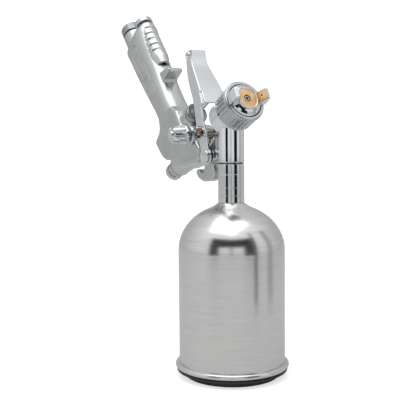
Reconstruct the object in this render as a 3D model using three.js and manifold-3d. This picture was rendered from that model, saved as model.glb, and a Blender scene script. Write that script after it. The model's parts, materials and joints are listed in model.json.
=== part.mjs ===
// HVLP gravity spray gun, parked upside down on the lid of its paint cup.
// Millimetres. +Z up, the cup's axis is the Z axis, and z = 0 is the face of the lid that the gun stands on.
// The gun itself is drawn in its own frame: x along the needle towards the nozzle, z towards the handle's
// end, y across. That frame is tilted on the cup's axis by GUN_TILT.
import * as THREE from 'three';
import { mergeVertices } from 'three/addons/utils/BufferGeometryUtils.js';
import Module from 'manifold-3d';

const wasm = await Module();
wasm.setup();

// ---------- driving dimensions ----------

const GAP = 0.3;                 // clearance between pieces that touch on the real gun
const GUN_TILT = 27;             // degrees that the needle axis rises towards the nozzle
const AXIS_HEIGHT = 208.1;       // where the needle axis crosses the cup's axis

const CUP_RADIUS = 42.5;
const CUP_WALL = 1.6;
const CUP_SHOULDER = 101;        // top of the straight wall
const CUP_TOP = 138.6;           // top of the dome
const BEAD_RADIUS = 2.3;
const BEAD_CENTRE = { r: 43.35, z: 9.06 };
const FOOT_RADIUS = 37.9;

const NECK_RADIUS = 10.4;
const BODY_FACE = 170.5;         // lower face of the gun body's neck boss
const SPIGOT_RADIUS = 8;

const HEAD_RADIUS = 14.6;
const HEAD_REAR = -13;
const HEAD_SHOULDER = 4.2;
const HEAD_FRONT = 14;
const RING_RADIUS = 17.3;
const CAP_RADIUS = 13.9;

const NEEDLE_RADIUS = 1.4;
const REAR_BOSS_RADIUS = 9.4;
const REAR_BOSS_END = -93;
const BODY_FRONT = -42.3;        // front face of the rear body, where the needle comes out

const PIVOT = { x: -32, z: -20.5 };      // trigger pivot
const BAR = { x: -31.5, z: 0.3 };        // cross bar that pulls the needle
const TRIGGER_HALF = 12;                 // half the trigger's width at its pivot
const TRIGGER_SHEET = 1.8;

const AIR_VALVE_Z = 26.5;
const AIR_VALVE_FACE = -49.6;             // where the valve's nut sits on its boss
const FAN = { x: -48, z: 7.2 };           // axis of the spray width control

const CASTING_WALL = 2.3;                // around the cored grip
const HANDLE_TILT = 14;                  // degrees between the handle and the needle axis' normal
const HANDLE_END = { x: -104.2, z: 143 };
const INLET_OFFSET = -9.5;               // along the end of the handle, from its centre line
const FLOW_OFFSET = 12.6;

// ---------- solids ----------

// A manifold solid from any closed three.js geometry, with its faces turned outward.
function solidOf(geometry) {
  const bare = geometry.clone();
  bare.deleteAttribute('normal');
  bare.deleteAttribute('uv');
  const merged = mergeVertices(bare, 1e-4);
  const position = merged.getAttribute('position');
  const corner = [new THREE.Vector3(), new THREE.Vector3(), new THREE.Vector3()];
  const triangles = [];
  let volume = 0;
  for (let i = 0; i < merged.index.count; i += 3) {
    const face = [0, 1, 2].map((k) => merged.index.getX(i + k));
    if (new Set(face).size < 3) continue;
    face.forEach((index, k) => corner[k].fromBufferAttribute(position, index));
    volume += corner[0].dot(corner[1].clone().cross(corner[2]));
    triangles.push(face);
  }
  const outward = volume > 0 ? triangles : triangles.map(([a, b, c]) => [a, c, b]);
  return new wasm.Manifold(new wasm.Mesh({
    numProp: 3,
    vertProperties: new Float32Array(position.array),
    triVerts: new Uint32Array(outward.flat()),
  }));
}

function join(...solids) {
  return solids.reduce((sum, next) => sum.add(next));
}

function cut(solid, ...tools) {
  return tools.reduce((rest, tool) => rest.subtract(tool), solid);
}

// Turns a geometry drawn along +Z into one along the nozzle's axis, towards the near side (-Y) or up (+Z).
const ALONG = {
  up: new THREE.Matrix4(),
  nozzle: new THREE.Matrix4().makeRotationY(Math.PI / 2),
  near: new THREE.Matrix4().makeRotationX(Math.PI / 2),
};

// A turned piece: profile is [radius, distance] pairs. It closes on itself, or starts and ends on the axis.
function turned(profile, { along = 'up', sides = 24, at = [0, 0, 0] } = {}) {
  const points = profile.map(([radius, distance]) => new THREE.Vector2(radius, distance));
  const onAxis = profile[0][0] === 0 && profile.at(-1)[0] === 0;
  if (!onAxis) points.push(points[0].clone());
  const geometry = new THREE.LatheGeometry(points, sides);
  geometry.rotateX(Math.PI / 2);
  geometry.applyMatrix4(ALONG[along]);
  geometry.translate(...at);
  return solidOf(geometry);
}

function rod(radius, from, to, options) {
  return turned([[0, from], [radius, from], [radius, to], [0, to]], options);
}

function tube(inner, outer, from, to, options) {
  return turned([[inner, from], [outer, from], [outer, to], [inner, to]], options);
}

// Points of an arc, for a turned profile or an outline: angles in degrees.
function arc(cx, cy, radius, start, end, steps) {
  return Array.from({ length: steps + 1 }, (_, i) => {
    const angle = THREE.MathUtils.degToRad(start + (end - start) * i / steps);
    return [cx + radius * Math.cos(angle), cy + radius * Math.sin(angle)];
  });
}

// A plate whose outline is a list of [x, z] points, centred on y = 0 and bevelled on both faces.
function plate(outline, halfWidth, bevel = 0) {
  const points = outline.map(([x, z]) => new THREE.Vector2(x, z));
  const geometry = new THREE.ExtrudeGeometry(new THREE.Shape(points), {
    depth: 2 * (halfWidth - bevel),
    bevelEnabled: bevel > 0,
    bevelSize: bevel,
    bevelOffset: -bevel,
    bevelThickness: bevel,
    bevelSegments: 2,
  });
  geometry.translate(0, 0, bevel - halfWidth);
  geometry.applyMatrix4(ALONG.near);
  return solidOf(geometry);
}

// A prism along x whose section is a list of [y, z] points.
function prismAlongNozzle(section, from, to) {
  const shape = new THREE.Shape(section.map(([y, z]) => new THREE.Vector2(y, z)));
  const geometry = new THREE.ExtrudeGeometry(shape, { depth: to - from, bevelEnabled: false });
  geometry.translate(0, 0, from);
  const acrossUpForward = new THREE.Matrix4().makeBasis(
    new THREE.Vector3(0, 1, 0), new THREE.Vector3(0, 0, 1), new THREE.Vector3(1, 0, 0));
  geometry.applyMatrix4(acrossUpForward);
  return solidOf(geometry);
}

class Helix extends THREE.Curve {
  constructor(radius, length, turns) {
    super();
    Object.assign(this, { radius, length, turns });
  }

  getPoint(t, target = new THREE.Vector3()) {
    const angle = 2 * Math.PI * this.turns * t;
    return target.set(this.radius * Math.cos(angle), this.radius * Math.sin(angle), this.length * t);
  }
}

// A coil spring along the needle's direction, from x = from to x = to.
function spring(radius, wire, from, to, turns, z) {
  const section = new THREE.Shape(arc(0, 0, wire, 0, 288, 4).map(([x, y]) => new THREE.Vector2(x, y)));
  const geometry = new THREE.ExtrudeGeometry(section, {
    steps: turns * 8,
    bevelEnabled: false,
    extrudePath: new Helix(radius, to - from - 2 * wire, turns),
  });
  geometry.applyMatrix4(ALONG.nozzle);
  geometry.translate(from + wire, 0, z);
  return solidOf(geometry);
}

// ---------- scene graph ----------

const group = new THREE.Group();
const gun = new THREE.Group();
gun.rotation.y = -THREE.MathUtils.degToRad(GUN_TILT);
gun.position.z = AXIS_HEIGHT;
group.add(gun);
gun.updateMatrixWorld(true);

const handleEnd = new THREE.Group();
handleEnd.rotation.y = -THREE.MathUtils.degToRad(HANDLE_TILT);
handleEnd.position.set(HANDLE_END.x, 0, HANDLE_END.z);
gun.add(handleEnd);
handleEnd.updateMatrix();

const FINISH = {
  casting: { color: 0xa9aeaa, roughness: 0.42, metalness: 0.9 },
  chrome: { color: 0xcfd2d4, roughness: 0.12, metalness: 1 },
  aluminium: { color: 0xbfc0be, roughness: 0.35, metalness: 1 },
  brass: { color: 0xc9a061, roughness: 0.3, metalness: 1 },
  steel: { color: 0x9b9c9d, roughness: 0.35, metalness: 1 },
  blackPlastic: { color: 0x1a1b1d, roughness: 0.6, metalness: 0 },
  whitePlastic: { color: 0xe2e0d8, roughness: 0.5, metalness: 0 },
  rubber: { color: 0x222222, roughness: 0.8, metalness: 0 },
};

function add(parent, name, solid, finish) {
  const { vertProperties, triVerts } = solid.getMesh();
  const geometry = new THREE.BufferGeometry();
  geometry.setAttribute('position', new THREE.BufferAttribute(vertProperties, 3));
  geometry.setIndex(new THREE.BufferAttribute(triVerts, 1));
  geometry.computeVertexNormals();
  const mesh = new THREE.Mesh(geometry, new THREE.MeshStandardMaterial(FINISH[finish]));
  mesh.name = name;
  parent.add(mesh);
}

// ---------- cup ----------

const CUP_SIDES = 32;
const PLUG_RADIUS = CUP_RADIUS - CUP_WALL - 0.4;
const NECK_BORE = 6.2;
const CUP_NECK_END = 152;
const LID_THICKNESS = 9;
const SEAL_GROOVE = { inner: PLUG_RADIUS - 1.6, low: 9.2, high: 12 };

function cupLid() {
  const flange = { radius: 44.5, low: 4.6, high: 6.3 };
  const body = turned([
    [0, 0], [FOOT_RADIUS - 0.5, 0], [FOOT_RADIUS, 0.5], [FOOT_RADIUS, flange.low],
    [flange.radius, flange.low], [flange.radius, flange.high], [PLUG_RADIUS, flange.high],
    [PLUG_RADIUS, SEAL_GROOVE.low], [SEAL_GROOVE.inner, SEAL_GROOVE.low],
    [SEAL_GROOVE.inner, SEAL_GROOVE.high], [PLUG_RADIUS, SEAL_GROOVE.high], [PLUG_RADIUS, 14.5],
    [37.4, 14.5], [37.4, LID_THICKNESS], [0, LID_THICKNESS],
  ], { sides: CUP_SIDES });
  return cut(body, rod(3.3, -1, LID_THICKNESS + 1, { sides: 12, at: VENT_PLACE }));
}

const VENT_PLACE = [0, 18, 0];

function lidVentPlug() {
  return turned([[0, 1], [3, 1], [3, LID_THICKNESS + GAP], [5, LID_THICKNESS + GAP],
    [4.4, LID_THICKNESS + 2], [0, LID_THICKNESS + 2]],
    { sides: 12, at: VENT_PLACE });
}

function lidSeal() {
  const inner = SEAL_GROOVE.inner + GAP;
  const outer = PLUG_RADIUS + 0.15;
  return turned([[inner, 9.8], [inner + 0.3, 9.5], [outer - 0.3, 9.5], [outer, 9.8], [outer, 11.4],
    [outer - 0.3, 11.7], [inner + 0.3, 11.7], [inner, 11.4]], { sides: CUP_SIDES });
}

// The dome's radius at each height, with the small hollow flare that runs up into the neck.
function domeProfile(radius, rise, neck, steps) {
  const flareStart = 66;
  const round = Array.from({ length: steps + 1 }, (_, i) => {
    const angle = THREE.MathUtils.degToRad(flareStart * i / steps);
    return [radius * Math.cos(angle), CUP_SHOULDER + rise * Math.sin(angle)];
  });
  const [startRadius, startHeight] = round.at(-1);
  const end = CUP_TOP - (CUP_RADIUS - radius);
  return [...round,
    [startRadius - 0.45 * (startRadius - neck), startHeight + 0.36 * (end - startHeight)],
    [startRadius - 0.78 * (startRadius - neck), startHeight + 0.68 * (end - startHeight)],
    [neck, end]];
}

function cup() {
  const inside = CUP_RADIUS - CUP_WALL;
  const bead = arc(BEAD_CENTRE.r, BEAD_CENTRE.z, BEAD_RADIUS, -143, 112, 7);
  const outer = domeProfile(CUP_RADIUS, 36.6, NECK_RADIUS, 7);
  const inner = domeProfile(inside, 36.6 - CUP_WALL, NECK_BORE, 5).reverse();
  return turned([
    ...bead, ...outer, [8.4, CUP_TOP], [8.4, CUP_NECK_END], [NECK_BORE, CUP_NECK_END], ...inner,
  ], { sides: CUP_SIDES });
}

const THREAD_CLEAR = 8.4 + GAP;

function cupCollar() {
  return tube(THREAD_CLEAR, NECK_RADIUS + 0.15, CUP_TOP + GAP, 144.2);
}

function cupLockRing() {
  return turned([[THREAD_CLEAR, 144.5], [10.1, 144.5], [NECK_RADIUS, 144.9], [NECK_RADIUS, 150.2],
    [10.1, 150.6], [THREAD_CLEAR, 150.6]]);
}

function cupAdapter() {
  const top = BODY_FACE - 1.3;
  return turned([
    [THREAD_CLEAR, 150.9], [10.1, 150.9], [NECK_RADIUS, 151.3], [NECK_RADIUS, 160.6], [10.1, 160.9],
    [10.1, 161.2], [NECK_RADIUS, 161.5], [NECK_RADIUS, top - 0.3], [10.1, top],
    [SPIGOT_RADIUS, top], [SPIGOT_RADIUS, top + 11], [5, top + 11], [5, 154.2], [THREAD_CLEAR, 154.2],
  ]);
}

function adapterSeal() {
  return tube(SPIGOT_RADIUS + GAP, NECK_RADIUS - 0.3, BODY_FACE - 1, BODY_FACE - GAP);
}

// A thimble with four long windows, hanging from a flange that the adapter clamps on the cup's neck.
function paintStrainer() {
  const thimble = turned([[0, 118], [4.6, 118], [5.4, 119], [5.4, 152.4], [8.2, 152.4], [8.2, 153.6],
    [4.6, 153.6], [4.6, 119.2], [0, 119.2]], { sides: 16 });
  const window = new THREE.BoxGeometry(4.4, 14, 24).translate(0, 0, 135);
  return cut(thimble, solidOf(window), solidOf(window.clone().rotateZ(Math.PI / 2)));
}

// ---------- gun body ----------

// A geometry that is drawn in the cup's frame, seen from the gun's own frame.
function fromCupFrame(geometry) {
  return geometry.applyMatrix4(gun.matrixWorld.clone().invert());
}

function uprightRod(radius, from, to, sides = 24) {
  const geometry = new THREE.CylinderGeometry(radius, radius, to - from, sides);
  geometry.rotateX(Math.PI / 2);
  geometry.translate(0, 0, (from + to) / 2);
  return solidOf(fromCupFrame(geometry));
}

// A rod along the handle, offset across its end; distances are measured from the handle's end.
function handleRod(radius, from, to, offset, sides = 20) {
  const geometry = new THREE.CylinderGeometry(radius, radius, to - from, sides);
  geometry.rotateX(Math.PI / 2);
  geometry.translate(offset, 0, (from + to) / 2);
  return solidOf(geometry.applyMatrix4(handleEnd.matrix));
}

// A rod in the gun's middle plane between two [x, z] points.
function slantedRod(radius, [startX, startZ], [endX, endZ]) {
  const length = Math.hypot(endX - startX, endZ - startZ);
  const geometry = new THREE.CylinderGeometry(radius, radius, length, 12)
    .rotateX(Math.PI / 2)
    .rotateY(Math.atan2(endX - startX, endZ - startZ))
    .translate((startX + endX) / 2, 0, (startZ + endZ) / 2);
  return solidOf(geometry);
}

// The grip, a column of rounded-rectangle sections: z, centre x, half depth and half thickness.
const GRIP_SECTIONS = [
  { z: 24, x: -77, depth: 17, thickness: 11 },
  { z: 36, x: -79.5, depth: 15.5, thickness: 11.6 },
  { z: 47, x: -81.8, depth: 13.6, thickness: 12 },
  { z: 60, x: -85.2, depth: 13.6, thickness: 12 },
  { z: 74, x: -89, depth: 15, thickness: 12 },
  { z: 90, x: -93.2, depth: 16.6, thickness: 12 },
  { z: 107, x: -98, depth: 17.6, thickness: 12 },
  { z: 124, x: -101.6, depth: 19, thickness: 12 },
  { z: 135.5, x: -104, depth: 20.6, thickness: 11.8 },
  { z: 138.8, x: -104.6, depth: 19.8, thickness: 10.8 },
];

function gripColumn(sections, wall = 0) {
  const sides = 20;
  const squareness = 3;
  const geometry = new THREE.CylinderGeometry(1, 1, 1, sides, sections.length - 1);
  const position = geometry.getAttribute('position');
  const slope = Math.tan(THREE.MathUtils.degToRad(HANDLE_TILT));
  const rounded = (value) => Math.sign(value) * Math.abs(value) ** (2 / squareness);
  for (let i = 0; i < position.count; i += 1) {
    const along = (position.getY(i) + 0.5) * (sections.length - 1);
    const section = sections[Math.round(along)];
    const across = (section.depth - wall) * rounded(position.getX(i));
    const side = (section.thickness - wall) * rounded(position.getZ(i));
    position.setXYZ(i, section.x + across, side, section.z + slope * across);
  }
  return solidOf(geometry);
}

function rearBlock() {
  const outline = [
    [BODY_FRONT, -2], [BODY_FRONT, 11], [-45, 15.6], [-50.5, 16.6], [-57.6, 21], [-60, 37], [-66, 45],
    [-92, 47],
    [-95, 34], [-95, 9], [-84, -4], [-80, -9], [-70, -11.5], [-59, -14.3], [-48, -18], [-43, -17],
    [-39.5, -9],
  ];
  return plate(outline, 11.5, 2.6);
}

function heel() {
  const outline = [
    [-80, 44], [-93, 48], [-96, 41], [-100, 36.5], [-108.6, 33], [-110.2, 30.5], [-107.6, 22],
    [-104, 13.5], [-100, 9], [-86, 4.5], [-78, 6],
  ];
  return plate(outline, 9.6, 2.4);
}

// The bridge between head and rear body, below the open space that the needle crosses.
function bridge() {
  const outline = [
    [-60, -14], [-48, -18.6], [-40, -23.5], [-32, -26.5], [-20, -26.5], [-12, -24], [-6, -14],
    [-12, -9.5], [-22, -11.4], [-32, -13.4], [-39, -9.5], [-46, -3], [-60, -2],
  ];
  return plate(outline, 8.2, 1.6);
}

function hook() {
  const outline = [
    [-44, -15], [-49, -20.5], [-53.6, -25], [-57.2, -23.2], [-58.8, -19.6], [-61.8, -18.2],
    [-64.6, -20], [-63, -25.8], [-57.6, -31.4], [-50, -34.8], [-42.5, -36.2], [-36.5, -33.4],
    [-34.5, -24], [-38, -16],
  ];
  return plate(outline, 4.4, 1.2);
}

function fingerStop() {
  const outline = [[-90, 84], [-78, 85.5], [-62, 81.8], [-59.6, 79.6], [-60.4, 77], [-71.5, 75.6],
    [-76.5, 69], [-90, 69]];
  return plate(outline, 7.4, 1.2);
}

function bodyCastings() {
  const head = turned([[0, HEAD_REAR], [11.4, HEAD_REAR], [HEAD_RADIUS, HEAD_REAR + 3.2],
    [HEAD_RADIUS, HEAD_SHOULDER], [13.2, HEAD_SHOULDER], [13.2, HEAD_FRONT], [0, HEAD_FRONT]],
  { along: 'nozzle', sides: 28 });
  const neckBoss = cut(uprightRod(NECK_RADIUS, BODY_FACE, AXIS_HEIGHT - 4),
    rod(2 * HEAD_RADIUS, HEAD_SHOULDER, 3 * HEAD_RADIUS, { along: 'nozzle', sides: 8 }),
    rod(7, 2 * HEAD_REAR, HEAD_REAR, { along: 'nozzle', sides: 8 }));
  const pivotBoss = rod(6.6, -8.8, 8.8, { along: 'near', sides: 20, at: [PIVOT.x, 0, PIVOT.z] });
  const rearBoss = turned([[0, -60], [11, -60], [10.6, -78], [REAR_BOSS_RADIUS, REAR_BOSS_END + 4],
    [REAR_BOSS_RADIUS, REAR_BOSS_END], [0, REAR_BOSS_END]], { along: 'nozzle' });
  const airValveBoss = rod(9.6, -76, AIR_VALVE_FACE, { along: 'nozzle', at: [0, 0, AIR_VALVE_Z] });
  const fanBoss = turned([[0, 4], [8.2, 4], [8.2, 11.2], [6.8, 12.8], [0, 12.8]],
    { along: 'near', sides: 20, at: [FAN.x, 0, FAN.z] });
  const inletSocket = handleRod(10, -30, 10, INLET_OFFSET);
  const flowBoss = handleRod(8.5, -46, -4, FLOW_OFFSET);
  return join(head, neckBoss, bridge(), pivotBoss, rearBlock(), heel(), rearBoss, airValveBoss, fanBoss,
    gripColumn(GRIP_SECTIONS), fingerStop(), hook(), inletSocket, flowBoss);
}

const NOZZLE_SOCKET = { radius: 6.4, depth: 1.5 };
const PACKING_BORE = 3.9;
const SPRING_CHAMBER = { radius: 5, front: -58, rear: -80 };
const REAR_BUSH_BORE = 7.6;
const AIR_VALVE_BORE = 6.3;
const STUD_RADIUS = 2.4;
const INLET_BORE = 6.8;
const FLOW_BORE = 4.4;

function bodyPassages() {
  const alongNeedle = (radius, from, to, z = 0) =>
    rod(radius, from, to, { along: 'nozzle', sides: 20, at: [0, 0, z] });
  const cored = GRIP_SECTIONS.filter(({ z }) => z < 130);
  const rearCore = [[-88, 9.5], [-62, 9.5], [-60.5, 20], [-66, 34], [-88, 34]];
  const heelCore = [[-101, 16], [-84, 12], [-84, 38], [-97, 33], [-104.5, 28.5]];
  return [
    uprightRod(SPIGOT_RADIUS + GAP, BODY_FACE - 1, BODY_FACE + 10.8),
    uprightRod(5, BODY_FACE, AXIS_HEIGHT - 1, 16),
    alongNeedle(NOZZLE_SOCKET.radius, NOZZLE_SOCKET.depth, HEAD_FRONT + 1),
    alongNeedle(2.8, -6, NOZZLE_SOCKET.depth + 1),
    alongNeedle(PACKING_BORE, HEAD_REAR - 1, -5),
    alongNeedle(4.3, SPRING_CHAMBER.front - 1, BODY_FRONT + 3),
    alongNeedle(SPRING_CHAMBER.radius, SPRING_CHAMBER.rear, SPRING_CHAMBER.front),
    alongNeedle(REAR_BUSH_BORE, REAR_BOSS_END - 1, -78),
    alongNeedle(9.3, REAR_BOSS_END - 30, REAR_BOSS_END),
    alongNeedle(AIR_VALVE_BORE, -84, AIR_VALVE_FACE + 1, AIR_VALVE_Z),
    rod(STUD_RADIUS + GAP, -12, 12, { along: 'near', sides: 16, at: [PIVOT.x, 0, PIVOT.z] }),
    rod(3.6, 5.4, 14, { along: 'near', sides: 16, at: [FAN.x, 0, FAN.z] }),
    gripColumn(cored, CASTING_WALL),
    plate(rearCore, 8.4),
    plate(heelCore, 6.6),
    slantedRod(3.4, [-66, 28], [FAN.x, FAN.z]),
    handleRod(INLET_BORE, -30, 11, INLET_OFFSET),
    handleRod(FLOW_BORE, -26, 1, FLOW_OFFSET, 16),
  ];
}

function gunBody() {
  return cut(bodyCastings(), ...bodyPassages());
}

// ---------- nozzle group ----------

function nozzleSeal() {
  return tube(3.4, 6.1, NOZZLE_SOCKET.depth + GAP, 3.2, { along: 'nozzle', sides: 20 });
}

function airBaffle() {
  const disc = tube(7.4, 12.8, HEAD_FRONT + GAP, 16.4, { along: 'nozzle', sides: 28 });
  const holes = Array.from({ length: 6 }, (_, i) => {
    const angle = i * Math.PI / 3;
    const at = [0, 10 * Math.cos(angle), 10 * Math.sin(angle)];
    return rod(0.9, HEAD_FRONT, 17, { along: 'nozzle', sides: 8, at });
  });
  return cut(disc, ...holes);
}

function fluidNozzle() {
  return turned([[2.6, 3.5], [6.1, 3.5], [6.1, 14.6], [7.1, 14.6], [7.1, 16.7], [9.6, 16.7], [9.6, 18.4],
    [6.6, 18.4], [5.6, 21], [2.2, 24.2], [2.2, 26.2], [1, 26.2], [1, 25.4], [2.6, 18]],
  { along: 'nozzle' });
}

function airCap() {
  const profile = [
    [10.2, 18.2], [15, 18.2], [15, 20], [CAP_RADIUS, 20], [CAP_RADIUS, 22.4], [13.2, 23.7], [11.4, 24.9],
    [9.2, 25.6], [9, 26.2], [2.8, 26.2], [2.8, 24.9], [6.6, 22.2], [10.2, 21],
  ];
  const hornSide = [[8.4, 23], [16.2, 23], [16.4, 28], [15.4, 34], [12.6, 35], [10.6, 31.5], [8.8, 27]];
  const hornWidth = 4.6;
  const horn = (side) => {
    const shape = new THREE.Shape(hornSide.map(([y, x]) => new THREE.Vector2(x, side * y)));
    const geometry = new THREE.ExtrudeGeometry(shape,
      { depth: 2 * hornWidth - 1, bevelSize: 0.5, bevelOffset: -0.5, bevelThickness: 0.5, bevelSegments: 1 });
    geometry.translate(0, 0, 0.5 - hornWidth);
    return solidOf(geometry);
  };
  const airHole = (side) => {
    const geometry = new THREE.CylinderGeometry(0.7, 0.7, 8, 8)
      .rotateZ(side * THREE.MathUtils.degToRad(24))
      .translate(30.6, side * 11, 0);
    return solidOf(geometry);
  };
  const keepInsideRing = rod(CAP_RADIUS, 22, 26, { along: 'nozzle', sides: 28 });
  const hornsFoot = join(horn(1), horn(-1)).intersect(join(keepInsideRing, hornEnvelope()));
  return cut(join(turned(profile, { along: 'nozzle', sides: 28 }), hornsFoot), airHole(1), airHole(-1));
}

// The space in front of the retaining ring, where the horns may be wider than the cap.
function hornEnvelope() {
  return rod(30, 23.2, 40, { along: 'nozzle', sides: 16 });
}

function airCapRing() {
  const ribs = 24;
  const skirt = turned([
    [HEAD_RADIUS - 1.1, HEAD_SHOULDER + 0.4], [RING_RADIUS - 1, HEAD_SHOULDER + 0.4],
    [RING_RADIUS - 0.4, HEAD_SHOULDER + 1.2], [RING_RADIUS - 0.4, 18.6], [RING_RADIUS, 19.2],
    [RING_RADIUS, 21.6], [RING_RADIUS - 0.8, 22.6], [CAP_RADIUS + 0.35, 22.6],
    [CAP_RADIUS + 0.35, 20.4], [15.4, 20.4], [15.4, 14.6], [13.5, 14.6],
  ], { along: 'nozzle', sides: 32 });
  const grooves = Array.from({ length: ribs }, (_, i) => {
    const angle = 2 * Math.PI * (i + 0.5) / ribs;
    const box = new THREE.BoxGeometry(11.6, 1, 1.2)
      .translate(12.4, 0, RING_RADIUS - 0.3)
      .rotateX(angle);
    return solidOf(box);
  });
  return cut(skirt, ...grooves);
}

// ---------- needle group ----------

const SHOULDER_FRONT = -60;
const SPRING_FRONT = -62.8;
const SPRING_REAR = -84;

function fluidNeedle() {
  const tip = { x: 25, radius: 0.4 };
  return turned([[0, -76], [NEEDLE_RADIUS, -76], [NEEDLE_RADIUS, SPRING_FRONT + GAP],
    [4.2, SPRING_FRONT + GAP], [4.2, SHOULDER_FRONT], [NEEDLE_RADIUS, SHOULDER_FRONT],
    [NEEDLE_RADIUS, 16], [tip.radius, tip.x], [0, tip.x]], { along: 'nozzle', sides: 12 });
}

const COLLAR_FRONT = BAR.x - 4 - GAP;

function needleCollar() {
  return turned([[NEEDLE_RADIUS + GAP, COLLAR_FRONT - 6], [3.6, COLLAR_FRONT - 6], [3.6, COLLAR_FRONT - 0.6],
    [3, COLLAR_FRONT], [NEEDLE_RADIUS + GAP, COLLAR_FRONT]], { along: 'nozzle', sides: 16 });
}

function needlePacking() {
  return tube(NEEDLE_RADIUS + GAP, PACKING_BORE - GAP, -8.6, -5.3, { along: 'nozzle', sides: 16 });
}

function packingNut() {
  const inner = NEEDLE_RADIUS + GAP;
  const hexagon = tube(inner, 6, -18.6, HEAD_REAR - GAP, { along: 'nozzle', sides: 6 });
  const spigot = tube(inner, PACKING_BORE - GAP, HEAD_REAR - 1, -8.9, { along: 'nozzle', sides: 16 });
  return join(hexagon, spigot);
}

function rearBush() {
  return turned([[5.3, -81], [REAR_BUSH_BORE - GAP, -81], [REAR_BUSH_BORE - GAP, REAR_BOSS_END - GAP],
    [8.8, REAR_BOSS_END - GAP], [8.8, REAR_BOSS_END - 2.2], [8.2, REAR_BOSS_END - 2.7],
    [5.3, REAR_BOSS_END - 2.7]].reverse(), { along: 'nozzle' });
}

function fluidKnob() {
  const front = REAR_BOSS_END - 3;
  return turned([[0, SPRING_REAR - GAP], [5, SPRING_REAR - GAP], [5, front], [7.2, front],
    [7.6, front - 0.6], [7.6, front - 3.4], [6.8, front - 3.9], [6.8, front - 6], [7.6, front - 6.5],
    [7.6, front - 11], [6.6, front - 12], [0, front - 12]], { along: 'nozzle' });
}

// ---------- trigger group ----------

// Half of the trigger's outside width at each height.
const TRIGGER_FACE_END = 20;
const TRIGGER_TAPER = [[-30, TRIGGER_HALF], [12, TRIGGER_HALF], [31, 11.2], [60, 8.1], [80, 6.6]];

// The face that the fingers pull, from the curled tip down to its lower edge.
function triggerFace(inset = 0) {
  const points = [[-19, 72.6], [-21.2, 66.5], [-21.8, 60], [-20.4, 52], [-18.3, 42], [-16.4, 31],
    [-15.8, TRIGGER_FACE_END]];
  return new THREE.SplineCurve(points.map(([x, z]) => new THREE.Vector2(x - inset, z)))
    .getPoints(points.length * 2)
    .map((point) => [point.x, point.y]);
}

// The trigger seen from the side, from its tip down to the eye around the pivot and back up.
function triggerSide() {
  const eye = arc(PIVOT.x, PIVOT.z, 7, 20, -170, 9);
  const lobe = arc(BAR.x, BAR.z, 5.8, 222, 128, 5);
  const backPoints = [[-32.6, 12.8], [-31.2, 21.6], [-30, 31.4], [-32, 45], [-31.6, 60], [-28.4, 70.5],
    [-23.4, 74.2]];
  const back = new THREE.SplineCurve(backPoints.map(([x, z]) => new THREE.Vector2(x, z)))
    .getPoints(backPoints.length * 2)
    .map((point) => [point.x, point.y]);
  return [...triggerFace(), [-20.6, TRIGGER_FACE_END - 0.6], [-22.4, 6], [-22.6, -5], [-24, -12], ...eye,
    [-36.2, -9.5], ...lobe, ...back];
}

// A block whose width follows the trigger's taper.
function triggerWedge(inset) {
  const right = TRIGGER_TAPER.map(([z, half]) => [half - inset, z]);
  const left = [...right].reverse().map(([y, z]) => [-y, z]);
  return prismAlongNozzle([...right, ...left], -60, 0);
}

function trigger() {
  const outside = plate(triggerSide(), TRIGGER_HALF).intersect(triggerWedge(0));
  const channelTop = 70.4;
  const inside = plate([
    [-60, -40], [-10, -40], [-10, TRIGGER_FACE_END],
    ...triggerFace(TRIGGER_SHEET).filter(([, z]) => z < channelTop).reverse(), [-60, channelTop],
  ], TRIGGER_HALF).intersect(triggerWedge(TRIGGER_SHEET));
  const studHole = rod(STUD_RADIUS + GAP, -15, 15, { along: 'near', sides: 16, at: [PIVOT.x, 0, PIVOT.z] });
  const barHole = rod(2.3, -14, 14, { along: 'near', sides: 16, at: [BAR.x, 0, BAR.z] });
  const bendRelief = (side) => solidOf(new THREE.BoxGeometry(2.4, 2.6, 12)
    .translate(-16.6, side * (TRIGGER_HALF - 1.2), 25));
  return cut(outside, inside, studHole, barHole, bendRelief(1), bendRelief(-1));
}

function triggerStud() {
  const plateFace = TRIGGER_HALF + GAP;
  return turned([[0, -plateFace - 1.7], [STUD_RADIUS, -plateFace - 1.7], [STUD_RADIUS, -plateFace - 1.2],
    [1.8, -plateFace - 1.2], [1.8, -plateFace], [STUD_RADIUS, -plateFace], [STUD_RADIUS, plateFace],
    [5.6, plateFace], [5.6, plateFace + 1.3], [5.2, plateFace + 1.7], [0, plateFace + 1.7]],
  { along: 'near', sides: 20, at: [PIVOT.x, 0, PIVOT.z] });
}

// An E-clip: a thin ring with a gap, around a shaft along y.
function eClip(inner, outer, from, to, place) {
  const ring = tube(inner, outer, from, to, { along: 'near', sides: 16, at: [place.x, 0, place.z] });
  const gap = new THREE.BoxGeometry(inner * 1.7, 2, outer * 1.4)
    .translate(place.x, -(from + to) / 2, place.z - outer * 0.7);
  return cut(ring, solidOf(gap));
}

function triggerBar() {
  const shoulder = TRIGGER_HALF - TRIGGER_SHEET - GAP;
  const end = TRIGGER_HALF + 1.9;
  const bar = turned([[0, -end], [2, -end], [2, -shoulder], [4, -shoulder], [4, shoulder], [2, shoulder],
    [2, end], [0, end]], { along: 'near', sides: 20, at: [BAR.x, 0, BAR.z] });
  return cut(bar, rod(2.7, -40, -20, { along: 'nozzle', sides: 16, at: [0, 0, 0] }));
}

// ---------- air valve ----------

function airValveNut() {
  const face = AIR_VALVE_FACE + GAP;
  return turned([[2.3, face - 8], [AIR_VALVE_BORE - GAP, face - 8], [AIR_VALVE_BORE - GAP, face],
    [9.6, face], [9.6, face + 3.9], [8.8, face + 4.9], [5, face + 4.9], [4.6, face + 3.7],
    [2.3, face + 3.7]], { along: 'nozzle', at: [0, 0, AIR_VALVE_Z] });
}

const VALVE_SEAT = AIR_VALVE_FACE - 8;
const STEM_TIP = -18.4;

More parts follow.
